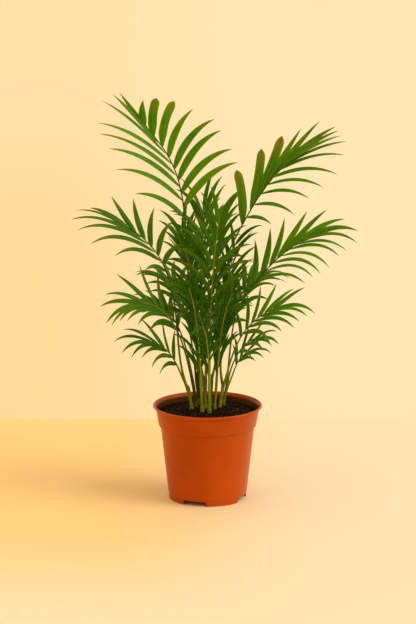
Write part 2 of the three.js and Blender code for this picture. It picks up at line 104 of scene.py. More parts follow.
# Each frond: the cane it grows from, the points that its stalk passes a third and two thirds of the way
# along and at its tip, the way its upper side looks, the share of its stalk with no leaflets, its pairs of
# leaflets, their width and how much they sag. rows are its left and right rows of leaflets, or one for
# both: how far they stand off from the stalk in degrees and their lengths, each at the start, middle and
# end of the row, and how far the blades roll to look at the stalk's tip. loose is how untidy they are.
FRONDS = [
    Frond("top_left", "j", ((-22, 10, 262), (-30, 14, 346), (-70, 18, 413)),
          face=(0.15, -0.95, 0.2), bare=0.52, pairs=8, width=8.2, sag=0.3,
          rows=(Row((52, 31, -15), (63, 100, 43), 36), Row((53, 55, 40), (79, 69, 30), 4))),
    Frond("top_right", "i", ((3, 20, 218), (46, 14, 318), (83, 4, 373)),
          face=(-0.1, -0.95, 0.3), bare=0.61, pairs=8, width=8.0, sag=0.3,
          rows=(Row((31, -3, -6), (64, 85, 74), 6), Row((71, 46, 5), (20, 74, 84), 36))),
    Frond("middle_left", "a", ((-33, -3, 188), (-44, -9, 254), (-88, -18, 308)),
          face=(0.3, -0.85, 0.45), bare=0.68, pairs=6, width=6.4, sag=0.8,
          rows=(Row((46, 25, -5), (29, 90, 63), 26), Row((68, 41, 9), (32, 46, 48), 0))),
    Frond("middle_right", "f", ((24, 13, 190), (61, 11, 250), (105, 5, 289)),
          face=(-0.3, -0.85, 0.45), bare=0.57, pairs=7, width=6.4, sag=0.9,
          rows=(Row((35, 18, -11), (53, 61, 75), 0), Row((39, 36, 16), (60, 61, 65), 26))),
    Frond("lower_left", "b", ((-25, 8, 163), (-42, -6, 204), (-74, -22, 224)),
          face=(0.25, -0.75, 0.6), bare=0.6, pairs=6, width=5.8, sag=1.1,
          rows=(Row((42, 27, 12), (44, 58, 48), 12), Row((50, 31, 12), (44, 54, 48), 0))),
    Frond("lower_right", "f", ((27, 5, 158), (43, -3, 191), (76, -12, 217)),
          face=(-0.25, -0.75, 0.6), bare=0.55, pairs=6, width=5.4, sag=1.0,
          rows=(Row((46, 29, 12), (36, 46, 42), 0), Row((46, 29, 12), (42, 54, 46), 12))),
    Frond("lowest_left", "a", ((-29, -9, 141), (-40, -18, 165), (-62, -25, 182)),
          face=(0.25, -0.7, 0.65), bare=0.5, pairs=5, width=5, sag=1.4,
          rows=(Row((50, 33, 16), (32, 44, 42), 0), Row((40, 24, 8), (34, 42, 44), 0))),
    Frond("side_right", "g", ((26, 17, 141), (36, 9, 164), (55, 2, 180)),
          face=(-0.3, -0.6, 0.7), bare=0.55, pairs=4, width=4.4, sag=1.2,
          rows=(Row((42, 26, 10), (24, 30, 28), 0), Row((48, 32, 16), (28, 34, 30), 0))),
    Frond("lowest_right", "g", ((28.5, 27, 134), (34, 26.5, 147), (44, 24, 158)),
          face=(-0.3, -0.7, 0.65), bare=0.55, pairs=3, width=4, sag=1.2,
          rows=(Row((36, 23, 10), (24, 32, 34), 0), Row((40, 27, 14), (20, 30, 30), 0))),
    Frond("middle_front", "d", ((3, -14, 190), (6, -16, 256), (13, -15, 316)),
          face=(0, -1, 0.1), bare=0.3, pairs=10, width=5.6, sag=0.8, loose=2.2,
          rows=(Row((46, 33, 20), (52, 60, 44), 12),)),
    Frond("middle_back", "j", ((-1, 2, 180), (1, 4, 236), (-4, 10, 298)),
          face=(0, -1, 0.2), bare=0.16, pairs=10, width=5.2, sag=0.8, loose=3,
          rows=(Row((28, 27, 26), (46, 56, 46), 20),)),
    Frond("inner_left", "c", ((-10, -6, 172), (-15, -3, 226), (-24, 2, 280)),
          face=(0.1, -1, 0.1), bare=0.12, pairs=11, width=4.5, sag=0.8, loose=3.5,
          rows=(Row((24, 24, 24), (44, 54, 40), 20), Row((22, 22, 22), (44, 52, 38), 10))),
    Frond("inner_right", "e", ((13, 4, 174), (20, 5, 228), (30, 4, 284)),
          face=(-0.1, -1, 0.1), bare=0.12, pairs=11, width=4.5, sag=0.8, loose=3.5,
          rows=(Row((22, 22, 22), (44, 52, 38), 10), Row((24, 24, 24), (44, 54, 40), 20))),
    Frond("front_left", "c", ((-9, -18, 170), (-13, -32, 212), (-20, -50, 246)),
          face=(0.2, -0.9, -0.3), bare=0.1, pairs=10, width=4.2, sag=0.7, loose=4,
          rows=(Row((20, 21, 22), (42, 50, 38), 30), Row((18, 19, 20), (42, 50, 38), 10))),
    Frond("front_right", "e", ((13, -8, 168), (18, -26, 208), (27, -48, 240)),
          face=(-0.2, -0.9, -0.3), bare=0.1, pairs=10, width=4.2, sag=0.7, loose=4,
          rows=(Row((18, 19, 20), (42, 50, 38), 10), Row((20, 21, 22), (42, 50, 38), 30))),
    Frond("low_front", "d", ((1, -24, 156), (-1, -44, 188), (-6, -70, 210)),
          face=(0.1, -0.6, 0.2), bare=0.28, pairs=8, width=4, sag=0.8, loose=4,
          rows=(Row((28, 22, 16), (34, 40, 32), 20),)),
    Frond("top_back", "i", ((-7, 33, 200), (-4, 43, 262), (-5, 56, 312)),
          face=(0, -0.7, 0.7), bare=0.4, pairs=8, width=6.4, sag=0.9, loose=2.5,
          rows=(Row((48, 34, 20), (50, 58, 50), 20),)),
    Frond("back_upright", "h", ((-13, 32, 185), (-18, 42, 238), (-27, 54, 284)),
          face=(0.1, -0.8, 0.6), bare=0.3, pairs=8, width=5.8, sag=0.9, loose=2.5,
          rows=(Row((40, 29, 18), (44, 50, 44), 20),)),
    Frond("back_left", "h", ((-18, 37, 168), (-28, 52, 208), (-44, 70, 230)),
          face=(0.3, -0.5, 0.8), bare=0.5, pairs=6, width=6.2, sag=1.1,
          rows=(Row((50, 34, 18), (44, 50, 44), 0), Row((46, 32, 18), (44, 50, 44), 0))),
    Frond("back_right", "g", ((26, 36, 168), (35, 52, 210), (52, 70, 230)),
          face=(-0.3, -0.5, 0.8), bare=0.5, pairs=6, width=6.2, sag=1.1,
          rows=(Row((46, 32, 18), (44, 50, 44), 0), Row((50, 34, 18), (44, 50, 44), 0))),
    Frond("low_back", "i", ((11, 41, 156), (17, 60, 186), (22, 82, 200)),
          face=(-0.1, -0.5, 0.8), bare=0.45, pairs=5, width=6, sag=1.1,
          rows=(Row((48, 33, 18), (38, 42, 36), 0),)),
    Frond("side_left", "b", ((-23, 22, 160), (-35, 32, 190), (-54, 42, 208)),
          face=(0.3, -0.6, 0.8), bare=0.55, pairs=5, width=5.8, sag=1.2,
          rows=(Row((50, 33, 16), (38, 46, 40), 0), Row((44, 28, 12), (36, 44, 38), 0))),
]

# What only the finish needs. olive is how brown a frond's leaflet tips are, yellow how yellow its stalk is,
# and deep how far painted shade darkens its leaflets. blunt lists the (side, pair) leaflets that have a
# round tip. slim_left and slim_right are how wide the row's leaflets are at its start and its end, as shares
# of the frond's width.
Look = namedtuple("Look", "olive yellow deep blunt slim_left slim_right",
                  defaults=(0.12, 0.3, 0.6, (), (1, 0.9), (1, 0.9)))
# In the looks, the darkness of the leaflets is painted shade: fronds low, in front and in the middle of the
# plant are darkened as though shaded.
LOOKS = {
    "top_left": Look(0.45, 0.12, 0.0, ((1, 5), (1, 6)), (0.8, 0.7), (1, 1)),
    "top_right": Look(0.4, 0.1, 0.05, ((-1, 0), (-1, 1), (-1, 2)), (1, 0.65), (0.62, 0.55)),
    "middle_left": Look(0.45, 0.1, 0.75, (), (0.9, 0.8), (1.15, 1)),
    "middle_right": Look(0.15, 0.1, 0.0, (), (1.15, 1), (0.75, 0.7)),
    "lower_left": Look(yellow=0.6, deep=0.55),
    "lower_right": Look(yellow=0.5, deep=0.0),
    "lowest_left": Look(yellow=0.3, deep=0.7),
    "side_right": Look(yellow=0.6, deep=0.1),
    "lowest_right": Look(yellow=0.7, deep=0.0),
    "middle_front": Look(yellow=0.6, deep=0.65),
    "inner_left": Look(yellow=0.7, deep=0.9),
    "inner_right": Look(yellow=0.5, deep=0.9),
    "front_left": Look(yellow=0.9, deep=0.95),
    "front_right": Look(yellow=0.8, deep=0.95),
    "low_front": Look(yellow=0.8, deep=0.9),
}


def look(f):
    return LOOKS.get(f.name, Look())


# What a leaflet may have tried to stay clear of its neighbours: tilts in degrees, and shares of its length.
TILTS = (0, 10, -10, 20, -20, 32, -32, 45, -45)
SIZES = (1, 0.85, 0.7, 0.5)
TIP_MATCH = 0.3  # how near a CAD vertex has to be to count as a leaflet's tip


# ---- Curves and directions, worked out as the CAD model does ----

def mix(a, b, t):
    return a + (b - a) * t


def square(v, axis):
    """The part of v at right angles to the unit vector axis, made a unit vector."""
    return (v - axis * v.dot(axis)).normalized()


def chance(seed):
    """A number from -1 to 1 that looks random and is always the same for the same seed."""
    x = math.sin(seed * 12.9898) * 43758.5453
    return 2 * (x - math.floor(x)) - 1


def bulge(row, x):
    """The parabola through the row's first value at 0, its middle one at a half and its last at 1."""
    first, middle, last = row
    return first * (1 - x) * (1 - 2 * x) + 4 * middle * x * (1 - x) + last * x * (2 * x - 1)


def smooth(low, high, x):
    t = min(1, max(0, (x - low) / (high - low)))
    return t * t * (3 - 2 * t)


class Bezier:
    """A smooth curve from the first point to the last that leans towards those between them."""

    def __init__(self, *points):
        self.points = points

    def last_step(self, t):
        points = self.points
        while len(points) > 2:
            points = [a.lerp(b, t) for a, b in zip(points, points[1:])]
        return points

    def point(self, t):
        a, b = self.last_step(t)
        return a.lerp(b, t)

    def way(self, t):
        a, b = self.last_step(t)
        return (b - a).normalized()


def cubic(start, q1, q2, end):
    """The cubic curve from start to end that passes q1 a third of the way and q2 two thirds of the way."""
    b = start * (-5 / 6) + q1 * 3 - q2 * 1.5 + end / 3
    c = start / 3 - q1 * 1.5 + q2 * 3 - end * (5 / 6)
    return Bezier(start, b, c, end)


def bow(cane):
    """The curve of a cane, which starts upright at its planted end."""
    middle = mix(PLANTED_TO, cane.top[2], 0.5)
    return Bezier(Vector((*cane.foot, PLANTED_TO)), Vector((*cane.foot, middle)), Vector(cane.top))


def row_of(f, side):
    return f.rows[0 if side < 0 else -1]


def stalk_radius(f):
    return STALK.radius + f.width * STALK.radius_per_width


def lean(f, top):
    x, y, _ = f.points[0]
    return Vector((x - top.x, y - top.y, 0))


def stalk_curve(f):
    """A stalk starts just above its cane, set to the side that it leans to."""
    cane = CANES[f.cane]
    top = Vector(cane.top)
    q1, q2, tip = (Vector(p) for p in f.points)
    cane_way = bow(cane).way(1)
    stalk_way = cubic(top, q1, q2, tip).way(0)
    sharing = [other for other in FRONDS if other.cane == f.cane]
    middle = sum((lean(other, top) for other in sharing), Vector()) / len(sharing)
    aside = lean(f, top) - middle
    reach = stalk_radius(f) + GAP / 2 if aside.length > 0 else 0
    lift = GAP + stalk_radius(f) * math.sin(cane_way.angle(stalk_way))
    return cubic(top + square(aside, cane_way) * reach + cane_way * lift, q1, q2, tip)


def stalk_point(curve, t):
    steps = STALK.steps
    step = min(steps - 1, math.floor(t * steps))
    return curve.point(step / steps).lerp(curve.point((step + 1) / steps), t * steps - step)


def leaflet_start(f, curve, pair, side, tilt, seed):
    """A leaflet's foot, a function for its heading, the way its upper side looks and its share of the row."""
    share = (pair + 0.25 * (side + 1)) / (f.pairs - 0.5)
    t = mix(f.bare, STALK.last_leaflet, share ** STALK.crowding)
    along = curve.way(t)
    upper = square(Vector(f.face), along)
    across = along.cross(upper) * side
    row = row_of(f, side)
    opening = math.radians(bulge(row.open, share) + f.loose * VARY.open * chance(seed + 1))
    rise = math.radians(tilt + LEAFLET.rise_deg + f.loose * VARY.rise * chance(seed + 2))
    outward = across * math.cos(rise) + upper * math.sin(rise)

    def heading(s):
        turn = opening * (1 + LEAFLET.arch * (s - 0.5))
        return along * math.cos(turn) + outward * math.sin(turn)

    chord = heading(0.5)
    roll = math.radians(row.roll + f.loose * VARY.roll * chance(seed + 5))
    face = square(upper, chord) * math.cos(roll) + square(along, chord) * math.sin(roll)
    base = stalk_point(curve, t) + across * LEAFLET.base_offset
    return base, heading, face, share


def midrib(base, heading, length, sag, steps):
    """The points and directions of a leaflet's midrib, which sags more the further it reaches sideways."""
    points, ways = [base.copy()], [heading(0)]
    for i in range(steps):
        s = (i + 0.5) / steps
        way = heading(s)
        way.z -= sag * math.hypot(way.x, way.y) * s * s
        way.normalize()
        points.append(points[-1] + way * (length / steps))
        ways.append(way)
    return points, ways


def leaflets(f, number, curve):
    """The leaflets that the CAD frond really carries, found by the vertex at each one's tip."""
    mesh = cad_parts["frond_" + f.name].data
    tree = kdtree.KDTree(len(mesh.vertices))
    for i, vertex in enumerate(mesh.vertices):
        tree.insert(vertex.co, i)
    tree.balance()
    found = []
    for pair in range(f.pairs):
        for side in (-1, 1):
            seed = number * 100 + pair * 10 + (side + 1) * 3
            sag = f.sag * (1 + VARY.sag * chance(seed + 4))
            for size, tilt in ((size, tilt) for size in SIZES for tilt in TILTS):
                base, heading, face, share = leaflet_start(f, curve, pair, side, tilt, seed)
                length = bulge(row_of(f, side).long, share) * (1 + VARY.length * chance(seed + 3)) * size
                tip = midrib(base, heading, length, sag, LEAFLET.steps)[0][-1]
                if tree.find(tip * mm(1))[2] < mm(TIP_MATCH):
                    blunt = (side, pair) in look(f).blunt
                    found.append((side, base, heading, face, share, length, sag, seed, blunt))
                    break
    return found


# ---- Mesh building ----

def put_in_scene(name, data):
    thing = bpy.data.objects.new(name, data)
    bpy.context.scene.collection.objects.link(thing)
    return thing


class Skin:
    """Collects closed shells into one mesh. Each vertex carries "grain", which the materials read: how far
    along its blade or rod it is, how far across, and a number of its own shell; and "tint", three more."""

    def __init__(self):
        self.points, self.faces, self.grain, self.tint, self.material = [], [], [], [], []

    def loft(self, rings, grains, tints, tip=None, material=0):
        """Closes a skin over rings of points, which run anticlockwise seen from the far end."""
        first, sides = len(self.points), len(rings[0])
        for ring, grain, tint in zip(rings, grains, tints):
            self.points.extend(ring)
            self.grain.extend(grain)
            self.tint.extend(tint)
        faces = [tuple(first + j for j in reversed(range(sides)))]
        for i in range(len(rings) - 1):
            for j in range(sides):
                a, b = first + i * sides + j, first + i * sides + (j + 1) % sides
                faces.append((a, b, b + sides, a + sides))
        last = first + (len(rings) - 1) * sides
        if tip is None:
            faces.append(tuple(last + j for j in range(sides)))
        else:
            self.points.append(tip)
            self.grain.append(grains[-1][0][:1] + (0.0,) + grains[-1][0][2:])
            self.tint.append(tints[-1][0])
            faces.extend((last + j, last + (j + 1) % sides, len(self.points) - 1) for j in range(sides))
        self.faces.extend(faces)
        self.material.extend([material] * len(faces))

    def build(self, name, materials, sharp_deg=45):
        mesh = bpy.data.meshes.new(name)
        mesh.from_pydata([p * mm(1) for p in self.points], [], self.faces)
        for key, values in (("grain", self.grain), ("tint", self.tint)):
            made = mesh.attributes.new(key, "FLOAT_VECTOR", "POINT")
            made.data.foreach_set("vector", [x for value in values for x in value])
        for material in materials:
            mesh.materials.append(material)
        mesh.polygons.foreach_set("material_index", self.material)
        mesh.polygons.foreach_set("use_smooth", [True] * len(mesh.polygons))
        mesh.set_sharp_from_angle(angle=math.radians(sharp_deg))
        return put_in_scene(name, mesh)


def settle(piece, node):
    """Puts a finished piece in the frame, in place of its CAD node."""
    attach(piece, "root")
    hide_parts(node)


def ring_round(centre, way, towards, radius, sides):
    across = square(towards, way)
    other = way.cross(across)
    return [
        centre + across * (radius * math.cos(a)) + other * (radius * math.sin(a))
        for a in (2 * math.pi * (j + 0.5) / sides for j in range(sides))
    ]


# ---- Fronds ----

BLADE_STEPS = 22
BLADE_TOP = (-1.0, -0.55, -0.12, 0.12, 0.55, 1.0)  # points across the upper side, in half widths
BLADE_WIDEST = 0.402  # the largest value of the pointed outline before it is scaled
BLADE = Values(
    fold=0.24,  # height of the ridge, in half widths
    tip_fold=0.55,  # share of the fold that is left at the tip
    pleat=0.05,  # depth of the shallow pleats beside the ridge, in half widths
    wave=0.16,
    wave_turns=9,
    thick=0.26,
    foot_thick=0.9,
    edge_thinning=0.6,
    foot_half_width=0.42,
    twist_deg=16,
    blunt_width=1.2,
    blunt_olive=0.3,
)


def blade_width(s, blunt):
    """The blade's half width along its length, as a share of the widest."""
    if blunt:
        return min(1, (s / 0.3) ** 0.6) * (1 - smooth(0.84, 1.05, s) ** 1.6)
    return s**0.5 * (1 - s) ** 0.9 / BLADE_WIDEST


def leaflet_tone(shade, spread, seed):
    """The frond's shade with a random change for one leaflet, kept from 0 to 1."""
    return min(1, max(0, shade + spread * chance(seed)))


def add_leaflet(skin, f, leaflet):
    side, base, heading, face, share, length, sag, seed, blunt = leaflet
    points, ways = midrib(base, heading, length, sag, BLADE_STEPS)
    twist = math.radians(BLADE.twist_deg * chance(seed + 6))
    slim = mix(*(look(f).slim_left if side < 0 else look(f).slim_right), share)
    half = f.width / 2 * (BLADE.blunt_width if blunt else slim)
    own = 0.5 + 0.5 * chance(seed + 7)
    olive = leaflet_tone(look(f).olive + (BLADE.blunt_olive if blunt else 0), 0.3, seed + 8)
    # Painted shade: how far this leaflet is darkened, as though in the shade inside the plant.
    deep = leaflet_tone(look(f).deep, 0.2, seed + 9)
    inner = BLADE_TOP[-2:0:-1]
    rings, grains, tints = [], [], []
    for i, (point, way) in enumerate(zip(points[:-1], ways)):
        s = i / BLADE_STEPS
        across = Matrix.Rotation(twist * s * s, 3, way) @ way.cross(face).normalized()
        over = across.cross(way)
        w = max(BLADE.foot_half_width * (1 - s), half * blade_width(s, blunt))
        wave = BLADE.wave * math.sin(BLADE.wave_turns * s + 6 * own) * smooth(0.05, 0.4, s)
        thick = mix(BLADE.foot_thick, BLADE.thick, smooth(0, 0.1, s)) * mix(1, 0.5, s)
        fold = BLADE.fold * mix(1.0, BLADE.tip_fold, s)
        top, under = [], []
        for u in BLADE_TOP:
            height = fold * w * (0.5 - abs(u))
            height += BLADE.pleat * w * math.cos(3 * math.pi * u) + wave * u * abs(u)
            top.append(point + across * (u * w) + over * height)
            under.append(top[-1] - over * (thick * (1 - BLADE.edge_thinning * abs(u))))
        rings.append(top + under[-2:0:-1])
        grains.append([(s, u, own) for u in BLADE_TOP + inner])
        tints.append([(olive, deep, 0.0)] * len(BLADE_TOP) + [(olive, deep, 1.0)] * len(inner))
    skin.loft(rings, grains, tints, tip=points[-1])


# ---- Stalks ----

SHEATH_BELOW = 0.42  # where a stalk comes away from its cane, as a share of the cane's height
SHEATH_SHARE = 0.12  # the sheath's length, as a share of the stalk's
SHEATH_STEPS = 14
SHEATH_PULL = 0.25  # how hard the sheath turns into the stalk, as a share of its length
SHEATH_SWELL = 1.3  # the sheath's radius where the stalk leaves it, as a share of the stalk's
STALK_STEPS = 44
STALK_SIDES = 12
STALK_END_RADIUS = 0.5
GROOVE = 0.16  # depth of the groove along a stalk, as a share of its radius


def sheath_point(u, low, low_pull, high, high_pull):
    """The cubic from low to high with the given pulls at its ends, and its slope."""
    point = low * (2 * u**3 - 3 * u**2 + 1) + low_pull * (u**3 - 2 * u**2 + u)
    point += high * (3 * u**2 - 2 * u**3) + high_pull * (u**3 - u**2)
    slope = low * (6 * u**2 - 6 * u) + low_pull * (3 * u**2 - 4 * u + 1)
    slope += high * (6 * u - 6 * u**2) + high_pull * (3 * u**2 - 2 * u)
    return point, slope


def stalk_path(f, curve):
    """The centre line of a stalk as (point, way, share) triples. Below the stalk's own start, where the share
    is under 0, it lies in the sheath that wraps the cane, and comes out of the cane's middle line."""
    cane = bow(CANES[f.cane])
    low, high = cane.point(SHEATH_BELOW), curve.point(0)
    reach = (high - low).length
    low_pull, high_pull = cane.way(SHEATH_BELOW) * reach, curve.way(0) * (reach * SHEATH_PULL)
    path = []
    for i in range(SHEATH_STEPS):
        u = i / SHEATH_STEPS
        point, slope = sheath_point(u, low, low_pull, high, high_pull)
        path.append((point, slope.normalized(), (u - 1) * SHEATH_SHARE))
    for i in range(STALK_STEPS + 1):
        t = i / STALK_STEPS
        path.append((curve.point(t), curve.way(t), t))
    return path


def add_stalk(skin, f, curve, own):
    """A stalk with its sheath: thick where it leaves the cane, then slim, with a groove on its upper side."""
    thick = stalk_radius(f)
    rings, grains, tints = [], [], []
    for point, way, t in stalk_path(f, curve):
        if t < 0:
            radius = thick * mix(1.0, SHEATH_SWELL, smooth(-SHEATH_SHARE, -SHEATH_SHARE / 3, t))
        else:
            swell = (SHEATH_SWELL - 1) * (1 - smooth(0, 0.14, t))
            radius = mix(thick, STALK_END_RADIUS, t**0.85) + thick * swell
        upper = square(Vector(f.face), way)
        depth = radius * GROOVE * smooth(0.1, 0.3, t)
        ring = ring_round(point, way, upper, radius, STALK_SIDES)
        rings.append([p - upper * (depth * max(0, (p - point).dot(upper) / radius) ** 6) for p in ring])
        grains.append([(t, (j + 0.5) / STALK_SIDES, own) for j in range(STALK_SIDES)])
        yellow = mix(CANES[f.cane].yellow, look(f).yellow, smooth(0, 0.4, t))
        tints.append([(yellow, t, 0.0)] * STALK_SIDES)
    skin.loft(rings, grains, tints, material=1)


def make_frond(number, f, materials):
    skin = Skin()
    curve = stalk_curve(f)
    add_stalk(skin, f, curve, 0.5 + 0.5 * chance(number + 0.5))
    for leaflet in leaflets(f, number, curve):
        add_leaflet(skin, f, leaflet)
    piece = skin.build("palm_frond_" + f.name, materials)
    settle(piece, "frond_" + f.name)


# ---- Canes ----

CANE_STEPS = 90
CANE_SIDES = 16
CANE_NARROWS = (0.42, 0.9)  # where the cane starts and stops to narrow, as shares of its height
CANE_TOP = 0.15  # share of its radius that is left at the top
# The two rings where old leaves were: their heights above the soil, how much those vary, the widths of a
# ring and of the ledge under it, all as shares of the cane's height, and how far they stand out.
SCAR = Values(low=0.1, high=0.3, spread=0.08, band=0.014, ledge=0.02, size=0.1)


def make_cane(letter, material):
    """A cane: slim, with faint rings where old leaves were, and drawn in at its top between the stalks."""
    cane = CANES[letter]
    curve = bow(cane)
    key = ord(letter)
    own = 0.5 + 0.5 * chance(key)
    soil_at = (SOIL.edge + 3 - PLANTED_TO) / (cane.top[2] - PLANTED_TO)
    scars = [soil_at + at + SCAR.spread * chance(key + n) for at, n in ((SCAR.low, 2), (SCAR.high, 3))]
    rings, grains, tints = [], [], []
    for i in range(CANE_STEPS + 1):
        t = i / CANE_STEPS
        bands = sum(math.exp(-(((t - at) / SCAR.band) ** 2)) for at in scars)
        ledges = sum(1 - smooth(at, at + SCAR.ledge, t) for at in scars)
        drawn = 1 - (1 - CANE_TOP) * smooth(*CANE_NARROWS, t)
        r = cane.radius * mix(0.98, 0.9, t) * drawn + SCAR.size * (bands + ledges)
        rings.append(ring_round(curve.point(t), curve.way(t), Vector((0, -1, 0)), r, CANE_SIDES))
        grains.append([(t, (j + 0.5) / CANE_SIDES, own) for j in range(CANE_SIDES)])
        tints.append([(cane.yellow, t, min(1, bands))] * CANE_SIDES)
    skin = Skin()
    skin.loft(rings, grains, tints)
    piece = skin.build("palm_cane_" + letter, [material])
    settle(piece, "cane_" + letter)


# ---- Pot ----

POT_SEGMENTS = 168
CORNER_STEPS = 5


def rounded(corners):
    """The outline through (radius, height, rounding) corners, each cut back by its rounding and curved."""
    outline = []
    for i, (r, z, size) in enumerate(corners):
        here = Vector((r, z))
        if size <= 0 or i in (0, len(corners) - 1):
            outline.append(here)
            continue
        before = Vector(corners[i - 1][:2]) - here
        after = Vector(corners[i + 1][:2]) - here
        start = here + before.normalized() * min(size, before.length / 2)
        end = here + after.normalized() * min(size, after.length / 2)
        for k in range(CORNER_STEPS + 1):
            t = k / CORNER_STEPS
            outline.append(start * (1 - t) ** 2 + here * (2 * t * (1 - t)) + end * t * t)
    return outline


def circle(radius, count):
    angles = [2 * math.pi * j / count for j in range(count)]
    return [(radius * math.cos(a), radius * math.sin(a)) for a in angles]


def arc(centre, size, first_deg, last_deg, steps):
    return [
        (centre[0] + size * math.cos(math.radians(a)), centre[1] + size * math.sin(math.radians(a)), 0)
        for a in (mix(first_deg, last_deg, i / steps) for i in range(steps + 1))
    ]


def pot_outline():
    """Half the pot's section, from the middle of its underside round the lip to the middle of its floor."""
    foot, channel, bead = POT.foot_radius, POT.channel_floor, POT.bead
    inside_foot = foot - WALL - 0.3
    floor = channel + POT.floor
    lip = arc((POT.lip_radius - bead, POT.height - bead), bead, -95, 165, 14)
    outside = [
        (POT.pad_radius + 1.2, 0, 0.4),
        (POT.channel_inner_radius + 1.2, channel, 1.2),
        (inside_foot, channel, 0.8),
        (inside_foot, 0, 0.25),
        (foot, 0, 0.35),
        (foot + 0.3, 6.2, 0.4),
        (*POT.body_bottom, 0.5),
        (POT.body_top[0], POT.body_top[1] + 1.4, 0.4),
        (POT.collar_bottom[0], POT.collar_bottom[1] - 1.6, 0.7),
        (*POT.collar_top, 1.6),
    ]
    wall_corners = ((POT.collar_top, -0.5), (POT.collar_bottom, 0.4), (POT.body_top, 0.4))
    inner = [
        *((corner[0] - WALL, corner[1] + raised, 1.2) for corner, raised in wall_corners),
        (POT.body_bottom[0] - WALL, floor, 1.2),
        (POT.channel_inner_radius, floor, 1.0),
        (POT.pad_radius, POT.floor, 1.0),
    ]
    return rounded([(0, 0, 0), *outside, *lip, *inner, (0, POT.floor, 0)])


def lathe(name, outline, segments):
    """Turns an outline that starts and ends on the axis into a closed mesh."""
    body = bmesh.new()
    corners = outline[1:-1]
    rings = [[body.verts.new((mm(x), mm(y), mm(z))) for x, y in circle(r, segments)] for r, z in corners]
    first = body.verts.new((0, 0, mm(outline[0].y)))
    last = body.verts.new((0, 0, mm(outline[-1].y)))
    for j in range(segments):
        k = (j + 1) % segments
        body.faces.new((first, rings[0][k], rings[0][j]))
        for low, high in zip(rings, rings[1:]):
            body.faces.new((low[j], low[k], high[k], high[j]))
        body.faces.new((rings[-1][j], rings[-1][k], last))
    return link_mesh(name, body)


def link_mesh(name, body):
    bmesh.ops.recalc_face_normals(body, faces=body.faces)
    mesh = bpy.data.meshes.new(name)
    body.to_mesh(mesh)
    body.free()
    return put_in_scene(name, mesh)


def prism(name, outline, low, high, place):
    """A closed block over an outline in the plane, from low to high along its own Z, moved by place."""
    body = bmesh.new()
    bottom = [body.verts.new(place @ Vector((mm(x), mm(y), mm(low)))) for x, y in outline]
    top = [body.verts.new(place @ Vector((mm(x), mm(y), mm(high)))) for x, y in outline]
    body.faces.new(bottom[::-1])
    body.faces.new(top)
    for j in range(len(outline)):
        k = (j + 1) % len(outline)
        body.faces.new((bottom[j], bottom[k], top[k], top[j]))
    return link_mesh(name, body)


def cut(target, tools):
    """Takes the tools away from the target, and removes them."""
    for tool in tools:
        step = target.modifiers.new("cut", "BOOLEAN")
        step.operation, step.solver, step.object = "DIFFERENCE", "EXACT", tool
    depsgraph = bpy.context.evaluated_depsgraph_get()
    mesh = bpy.data.meshes.new_from_object(target.evaluated_get(depsgraph))
    target.modifiers.clear()
    target.data = mesh
    for tool in tools:
        bpy.data.objects.remove(tool)


def drain_tools():
    """The blocks that cut the skirt's notches and the floor's slots."""
    half, top, height = DRAIN.width / 2, DRAIN.top_width / 2, DRAIN.height
    notch = rounded_plane([(-half, -1), (half, -1), (top, height), (-top, height)], 1.4)
    inner, outer, spread = SLOT.inner, SLOT.outer, math.radians(SLOT.spread_deg / 2)
    angles = [mix(-spread, spread, i / 10) - math.pi / 2 for i in range(11)]
    slot = [(outer * math.cos(a), outer * math.sin(a)) for a in angles]
    slot += [(inner * math.cos(a), inner * math.sin(a)) for a in reversed(angles)]
    tools = []
    for i in range(DRAIN.count):
        turn = Matrix.Rotation(math.radians(DRAIN.first_deg + 360 / DRAIN.count * i), 4, "Z")
        outward = Matrix.Translation((0, -mm(POT.foot_radius), 0))
        stand = turn @ outward @ Matrix.Rotation(math.pi / 2, 4, "X")
        tools.append(prism("notch_tool", notch, -4.5, 3.5, stand))
        tools.append(prism("slot_tool", slot, POT.channel_floor - 1, POT.channel_floor + 3, turn))
    return tools


def rounded_plane(corners, size):
    """The closed outline through corners in a plane, each rounded by size."""
    looped = [(*corners[-1], 0), *((x, y, size) for x, y in corners), (*corners[0], 0)]
    return rounded(looped)[1:-1]


def make_pot(material):
    pot = lathe("pot_shell", pot_outline(), POT_SEGMENTS)
    cut(pot, drain_tools())
    pot.data.materials.append(material)
    pot.data.polygons.foreach_set("use_smooth", [True] * len(pot.data.polygons))
    pot.data.set_sharp_from_angle(angle=math.radians(38))
    settle(pot, "pot")


# ---- Soil ----

SOIL_SEGMENTS = 150
SOIL_RINGS = 50
# The soil's hidden side inside the pot as (radius, height) corners, from the middle of the floor up.
SOIL_SIDE = ((22, 2.2), (27, 8.6), (41.7, 9), (49.8, 79.5), (51.8, 85))
CRUMBS = Values(count=900, sides=7, levels=4, small=(0.35, 0.8), big=(0.8, 1.7), big_every=6)
FIBRES = Values(count=110, sides=5, steps=8, length=(3, 9), radius=(0.1, 0.22), lift=0.25)


def beside(cane, x, y):
    """How far a place on the soil is from the side of a cane."""
    return math.hypot(x - cane.foot[0], y - cane.foot[1]) - cane.radius


def soil_height(x, y):
    """The height of the soil's surface: a low mound with crumbs and hollows."""
    r = math.hypot(x, y)
    mound = mix(SOIL.middle - 1.6, SOIL.edge - 0.6, smooth(6, 50, r))
    place = Vector((x, y, 0))
    # Slow swells, clods, sharp crumbs and fine grit, then the ring pushed up round each cane.
    rough = 0.9 * field.noise(place * 0.09) + 0.75 * field.noise(place * 0.28 + Vector((7, 0, 0)))
    rough += 0.5 * abs(field.noise(place * 0.75)) + 0.28 * field.noise(place * 1.9)
    for cane in CANES.values():
        rough += 0.9 * math.exp(-((beside(cane, x, y) / 2.4) ** 2))
    return mound + rough * (1 - 0.6 * smooth(46, 53, r))


